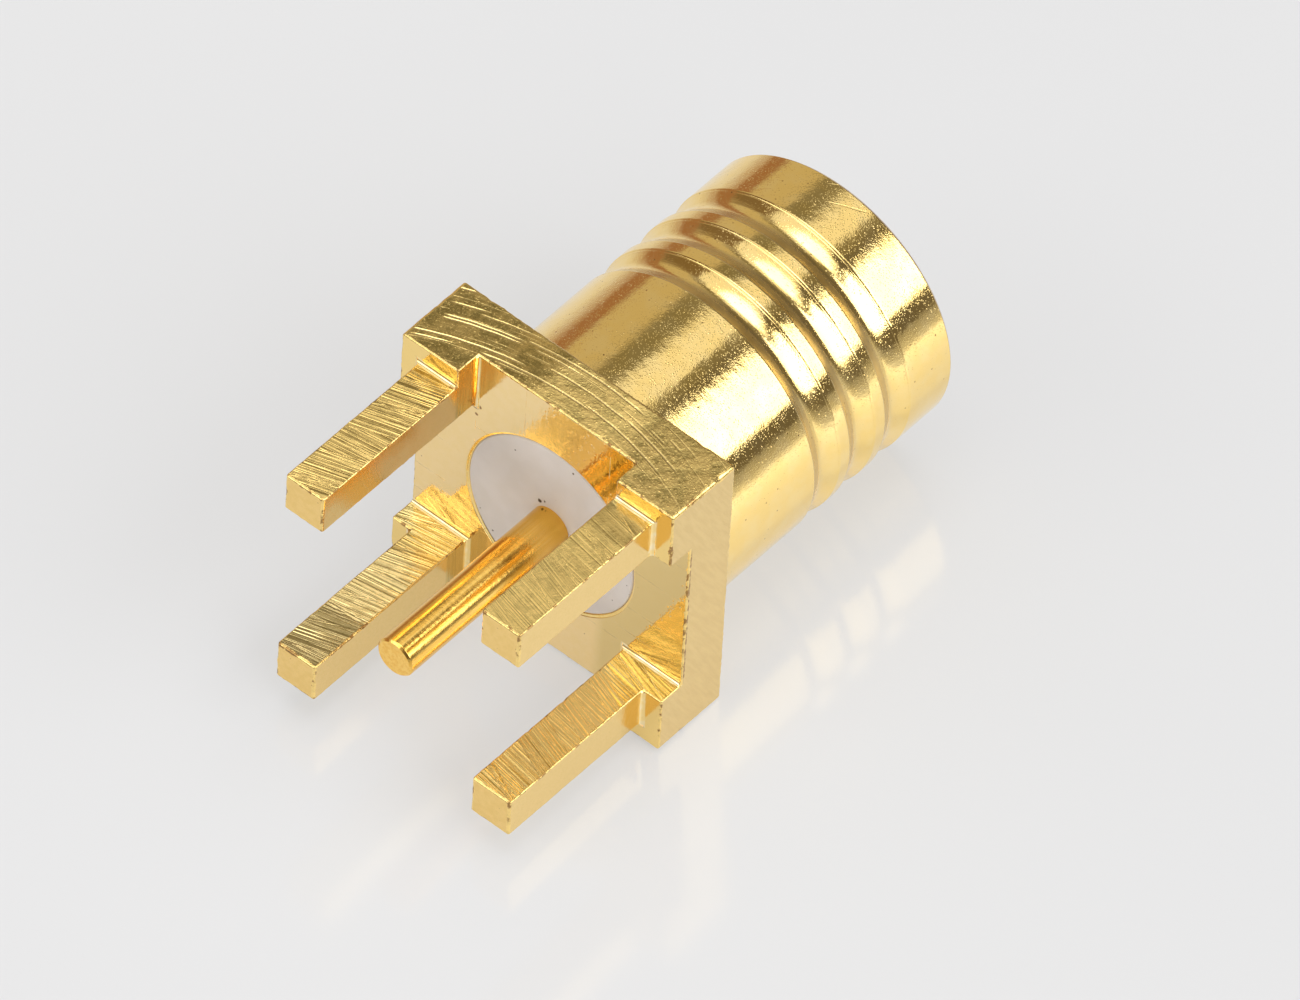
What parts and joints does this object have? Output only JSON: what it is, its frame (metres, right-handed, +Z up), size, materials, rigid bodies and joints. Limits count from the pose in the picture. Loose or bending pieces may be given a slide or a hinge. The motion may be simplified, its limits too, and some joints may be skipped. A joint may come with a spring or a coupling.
{
  "type": "smb connector",
  "caption": "Straight board-mount coaxial connector: square flange with crossed channel and square ground legs, round grooved barrel, white insulator and gold-plated centre pin.",
  "frame": {"origin": "on the barrel's and the centre pin's axis, at the board seat (the undersides of the four feet)", "axes": "+Y along the barrel to the open mating end, legs to -Y, +Z up as the part lies on its side, +X along a flange side"},
  "size_m": [0.007, 0.0131, 0.007],
  "materials": {
    "shell_gold": "bright gold plating over turned and milled brass",
    "collet_gold": "bright gold plating over turned spring alloy",
    "insulator_white": "white fluoropolymer, smooth turned",
    "contact_gold": "deep gold plating over turned brass"
  },
  "bodies": {
    "root": {"connector_body": "shell_gold", "spring_collet": "collet_gold", "insulator": "insulator_white", "center_contact": "contact_gold"}
  },
  "joints": []
}
